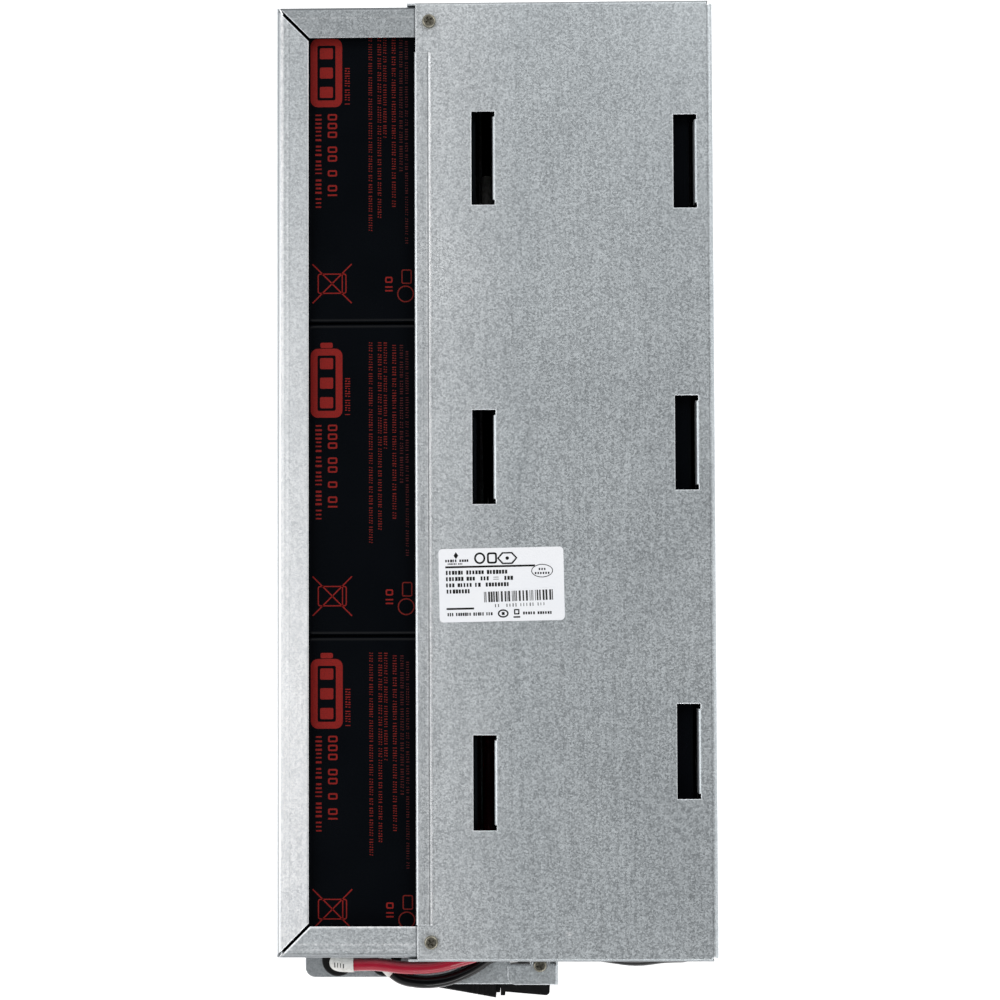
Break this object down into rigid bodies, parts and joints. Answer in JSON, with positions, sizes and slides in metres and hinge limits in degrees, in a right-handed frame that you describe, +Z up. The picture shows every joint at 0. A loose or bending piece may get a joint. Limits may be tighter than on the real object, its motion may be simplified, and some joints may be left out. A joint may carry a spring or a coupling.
{
  "type": "ups battery cartridge",
  "caption": "Folded sheet-metal tray holding two rows of sealed battery blocks under a part-width cover with lanced slots, and a front shelf that carries the leads and their plug.",
  "frame": {"origin": "on the underside of the tray, midway across the cartridge's overall width and midway between the end walls", "axes": "+X across the tray towards the covered side, +Y along the tray from the connector end to the rear, +Z up"},
  "size_m": [0.211, 0.4873, 0.0742],
  "materials": {
    "galvanised_sheet": "hot-dip galvanised sheet with a fine grey grain",
    "battery_case": "glossy black ABS with dull red print",
    "tinned_metal": "tin-plated brass",
    "boot_nylon": "black nylon",
    "black_wire": "glossy black PVC",
    "red_wire": "glossy red PVC",
    "marker_white": "white sleeve",
    "grommet_rubber": "matt black rubber",
    "bush_nylon": "black nylon",
    "zinc_hardware": "zinc-plated steel",
    "connector_black": "fine-textured black plastic",
    "contact_copper": "silver-plated copper",
    "label_white": "white satin label stock"
  },
  "bodies": {
    "root": {"battery_tray": "galvanised_sheet", "top_cover": "galvanised_sheet", "connector_shelf": "galvanised_sheet", "dock_clamp": "galvanised_sheet", "battery_1": "battery_case", "battery_1_terminals": "tinned_metal", "battery_2": "battery_case", "battery_2_terminals": "tinned_metal", "battery_3": "battery_case", "battery_3_terminals": "tinned_metal", "battery_4": "battery_case", "battery_4_terminals": "tinned_metal", "battery_5": "battery_case", "battery_5_terminals": "tinned_metal", "battery_6": "battery_case", "battery_6_terminals": "tinned_metal", "tab_receptacles": "tinned_metal", "receptacle_boots": "boot_nylon", "jumper_front_left": "black_wire", "jumper_rear_left": "black_wire", "jumper_crossing": "black_wire", "jumper_rear_right": "black_wire", "jumper_front_right": "black_wire", "red_lead": "red_wire", "black_lead": "black_wire", "red_lead_marker": "marker_white", "black_lead_marker": "marker_white", "jumper_markers": "marker_white", "shelf_grommets": "grommet_rubber", "red_lead_bush": "bush_nylon", "black_lead_bush": "bush_nylon", "shelf_rivets": "zinc_hardware", "power_plug": "connector_black", "plug_contacts": "contact_copper", "plug_dock": "connector_black", "clamp_screw": "zinc_hardware", "cover_screws": "zinc_hardware", "rating_label": "label_white", "serial_label": "label_white"}
  },
  "joints": []
}
